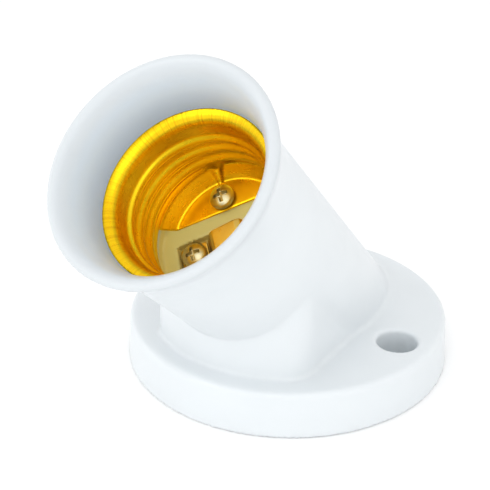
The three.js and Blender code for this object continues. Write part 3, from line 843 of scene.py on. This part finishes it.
def white_moulding():
    """Cool white moulding, with painted shade greying the rim and darkening and bluing the bell and
    the groove by the lip, and a painted cream glow of the brass shell's light on the floor.
    """
    material, nodes, links, shader = new_material("white_moulding", (0.77, 0.80, 0.82))
    tint = noise(nodes, links, scale=60, detail=3)
    colour = ramp(nodes, links, tint, [(0.3, (0.757, 0.787, 0.805)), (0.7, (0.777, 0.807, 0.825))])
    # Mix in the zones of painted shade and painted light.
    for radii, rise, fall, painted_light_colour in PAINTED_LIGHT_ZONES:
        colour = mix(nodes, links, zone(nodes, links, radii, rise, fall), colour, painted_light_colour)
    links.new(colour, shader.inputs["Base Color"])
    mottle = noise(nodes, links, scale=420, detail=4)
    links.new(spread(nodes, links, mottle, 0.30, 0.38), shader.inputs["Roughness"])
    skin = noise(nodes, links, scale=1500, detail=2)
    links.new(bump(nodes, links, skin, height=0.00001), shader.inputs["Normal"])
    shader.inputs["Subsurface Weight"].default_value = 0.12
    shader.inputs["Subsurface Radius"].default_value = (0.002, 0.002, 0.002)
    shader.inputs["Subsurface Scale"].default_value = 1.0
    shader.inputs["IOR"].default_value = 1.5
    return material


def scratched_lip(nodes, links, colour):
    """Darker scratches across the lip of the shell, which change only round the socket's axis."""
    around = nodes.new("ShaderNodeVectorMath")
    around.operation = "NORMALIZE"
    texture = nodes.new("ShaderNodeTexNoise")
    texture.inputs["Scale"].default_value = 45
    texture.inputs["Detail"].default_value = 3
    links.new(from_axis(nodes, links), around.inputs[0])
    links.new(around.outputs["Vector"], texture.inputs["Vector"])
    _, height = radius_and_height(nodes, links)
    scratches = spread(nodes, links, texture.outputs["Fac"], 0, 0.8, (0.48, 0.72))
    lip = fade(nodes, links, height, (49.2, 50.6))
    return mix(nodes, links, product(nodes, links, scratches, lip), colour, (0.80, 0.46, 0.02))


def metal(name, dark, light, rough, streak, scale, finish=None):
    """Metal with tarnish patches and faint drawn lines; a finish may go over its colour."""
    material, nodes, links, shader = new_material(name, light)
    patches = noise(nodes, links, scale, detail=5)
    colour = ramp(nodes, links, patches, [(0.25, dark), (0.7, light)])
    if finish:
        colour = finish(nodes, links, colour)
    links.new(colour, shader.inputs["Base Color"])
    shader.inputs["Metallic"].default_value = 1
    drawn = noise(nodes, links, scale=500, detail=4, stretch=streak)
    links.new(spread(nodes, links, drawn, *rough), shader.inputs["Roughness"])
    links.new(bump(nodes, links, drawn, height=0.0000008), shader.inputs["Normal"])
    return material


# ------------------------------------------------------------- whole assembly
def on_row(u, v, s):
    """Frame of a small part that stands on the contact row."""
    return ROW_FRAME @ Matrix.Translation((u, v, s))


def build_housing(material):
    """White moulding, in the space that its CAD solid fills."""
    low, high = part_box("housing")
    bottom, top = np.array(low) / MM, np.array(high) / MM
    world = Matrix.Identity(4)
    piece(
        "Housing", housing_field, bottom, top, HOUSING_STEP, world, "holder", "housing",
        material,
    )


def build_shell(material):
    """Screw shell, which is kept from throwing its colour on the white bell."""
    room = 0.1
    reach = SHELL_PLAIN_R + LIP_FLARE_R + room
    shell = piece(
        "ScrewShell", shell_field, (-reach, -reach, SHELL_FLOOR - 1),
        (reach, reach, LIP_TOP + room), SHELL_STEP, ROW_FRAME, "holder", "screw_shell", material,
    )
    shell.visible_diffuse = False


def build_fixing(name, uv, seat, behind, steel, brass):
    """Screw, lock washer and nut of one fixing; behind is the strip stack's low face."""
    seat_s = seat + GAP
    washer_s = behind - LOCK_WASHER_H
    nut_s = washer_s - GAP - NUT_H
    tip = nut_s - THREAD_STICK_OUT - seat_s
    title = "".join(word.capitalize() for word in name.split("_"))
    head = FIX_HEAD_R
    piece(
        title, lambda p: cross_screw_field(p, tip), (-head, -head, tip), (head, head, FIX_HEAD_H),
        FIX_STEP, on_row(*uv, seat_s), "holder", name, steel,
    )
    rim = LOCK_WASHER_R
    piece(
        title + "LockWasher", lock_washer_field, (-rim, -rim, 0), (rim, rim, LOCK_WASHER_H),
        FIX_STEP, on_row(*uv, washer_s), "holder", name + "_lock_washer", steel,
    )
    corner = NUT_ACROSS_FLATS / math.sqrt(3)
    piece(
        title + "Nut", nut_field, (-corner, -corner, 0), (corner, corner, NUT_H),
        NUT_STEP, on_row(*uv, nut_s), "holder", name + "_nut", brass,
    )


def build_clamp(name, uv, steel):
    """Binding screw and square washer of one wire clamp."""
    half = CLAMP_WASHER_SIDE / 2
    title = name.capitalize() + "Clamp"
    piece(
        title + "Washer", clamp_washer_field, (-half, -half, 0), (half, half, CLAMP_WASHER_H),
        CLAMP_WASHER_STEP, on_row(*uv, CLAMP_SEAT_S - GAP), name + "_clamp",
        name + "_clamp_washer", steel,
    )
    head = CLAMP_HEAD_R
    tip = CLAMP_TIP_S - (CLAMP_SEAT_S - 2 * GAP)
    piece(
        title + "Screw", clamp_screw_field, (-head, -head, -CLAMP_HEAD_H), (head, head, tip),
        CLAMP_SCREW_STEP, on_row(*uv, CLAMP_SEAT_S - 2 * GAP), name + "_clamp_turn",
        name + "_clamp_screw", steel,
    )


def build_strip(name, start, end, brass):
    """Terminal strip behind the floor."""
    low = [min(a, b) - STRIP_R for a, b in zip(start, end)] + [STRIP_TOP - STRIP_H]
    high = [max(a, b) + STRIP_R for a, b in zip(start, end)] + [STRIP_TOP]
    piece(
        name.capitalize() + "Terminal", lambda p: strip_field(p, start, end), low, high,
        STRIP_STEP, ROW_FRAME, "holder", name + "_terminal", brass,
    )


def build_contact(brass):
    """Centre contact: its fixed foot and its sprung tongue."""
    half = CONTACT_HALF_WIDTH
    piece(
        "CentreContactFoot", foot_field, (POCKET_LOW_U, -half, FOOT_LOW),
        (BEND_U, half, FOOT_LOW + CONTACT_SHEET), CONTACT_STEP, ROW_FRAME, "holder",
        "centre_contact_foot", brass,
    )
    piece(
        "CentreContactTongue", tongue_field, (BEND_U, -half, FOOT_LOW),
        (TONGUE_TIP_U, half, TONGUE_TOP_S), CONTACT_STEP, ROW_FRAME, "contact_spring",
        "centre_contact_tongue", brass,
    )


# --------------------------------------------------------- floor, lamps, camera
def plain_material(name, colour):
    """Matt material of one colour."""
    material, _, _, shader = new_material(name, colour)
    shader.inputs["Base Color"].default_value = (*colour, 1)
    shader.inputs["Roughness"].default_value = 0.9
    return material


def build_floor():
    """Pale sweep under the holder's rear face."""
    half = 1.5
    low = -0.00002
    corners = [(-half, -half, low), (half, -half, low), (half, half, low), (-half, half, low)]
    mesh = bpy.data.meshes.new("Floor")
    mesh.from_pydata(corners, [], [(0, 1, 2, 3)])
    mesh.materials.append(plain_material("floor", (0.98, 0.98, 0.98)))
    floor = bpy.data.objects.new("Floor", mesh)
    bpy.context.scene.collection.objects.link(floor)


def area_lamp(name, place, target, size, watts):
    """White rectangular lamp that faces a target."""
    lamp = bpy.data.lights.new(name, "AREA")
    lamp.shape = "RECTANGLE"
    lamp.size, lamp.size_y = size
    lamp.energy = watts
    made = bpy.data.objects.new(name, lamp)
    made.location = place
    made.rotation_euler = (Vector(target) - Vector(place)).to_track_quat("-Z", "Y").to_euler()
    bpy.context.scene.collection.objects.link(made)


def build_lighting():
    """Even white surroundings with large, weak lamps."""
    world = bpy.data.worlds.new("Studio")
    world.use_nodes = True
    world.node_tree.nodes["Background"].inputs["Color"].default_value = (1, 1, 1, 1)
    world.node_tree.nodes["Background"].inputs["Strength"].default_value = 1.0
    bpy.context.scene.world = world
    middle = (0, -0.02, 0.03)
    area_lamp("Overhead", (0.3, -0.45, 0.45), middle, (0.6, 0.6), 0.75)
    area_lamp("Front", (-0.17, -0.45, 0.19), middle, (0.3, 0.22), 0.16)
    area_lamp("Left", (-0.5, -0.1, 0.12), middle, (0.3, 0.2), 0.13)
    area_lamp("Right", (0.5, -0.1, 0.12), middle, (0.3, 0.2), 0.07)
    area_lamp("Highlight", (-0.225, -0.374, 0.384), middle, (0.12, 0.12), 0.12)
    bpy.context.scene.view_settings.view_transform = "Standard"
    bpy.context.scene.view_settings.gamma = 0.8


def build_camera():
    """Camera above and to the right of the mouth."""
    data = bpy.data.cameras.new("Camera")
    data.sensor_width = 36
    data.lens = CAMERA_LENS
    data.clip_start = 0.01
    camera = bpy.data.objects.new("Camera", data)
    camera.location = CAMERA_PLACE
    towards = Vector(CAMERA_TARGET) - Vector(CAMERA_PLACE)
    camera.rotation_euler = towards.to_track_quat("-Z", "Y").to_euler()
    bpy.context.scene.collection.objects.link(camera)
    bpy.context.scene.camera = camera


def build_all():
    """The whole holder, its floor, the lamps and the camera."""
    moulding = white_moulding()
    shell = metal(
        "shell_brass", (0.97, 0.65, 0.02), (1.0, 0.72, 0.03), (0.26, 0.32), (1, 1, 8), 90,
        scratched_lip,
    )
    strip = metal(
        "contact_brass", (0.62, 0.42, 0.10), (0.86, 0.68, 0.24), (0.26, 0.4), (6, 1, 1), 140
    )
    steel = metal(
        "plated_steel", (0.62, 0.55, 0.34), (0.84, 0.77, 0.54), (0.3, 0.4), (1, 1, 1), 260
    )
    build_housing(moulding)
    build_shell(shell)
    build_contact(strip)
    build_strip("shell", (0, FLANGE_SCREW_V), SHELL_CLAMP_UV, strip)
    build_strip("contact", (CONTACT_SCREW_U, 0), CONTACT_CLAMP_UV, strip)
    under_strip = STRIP_TOP - STRIP_H - GAP
    build_fixing("shell_screw", (0, FLANGE_SCREW_V), SHELL_FLOOR, under_strip, steel, strip)
    build_fixing("shell_rear_screw", (0, -FLANGE_SCREW_V), SHELL_FLOOR, STRIP_TOP, steel, strip)
    contact_seat = FOOT_LOW + CONTACT_SHEET
    build_fixing("contact_screw", (CONTACT_SCREW_U, 0), contact_seat, under_strip, steel, strip)
    build_clamp("shell", SHELL_CLAMP_UV, steel)
    build_clamp("contact", CONTACT_CLAMP_UV, steel)
    build_floor()
    build_lighting()
    build_camera()


build_all()
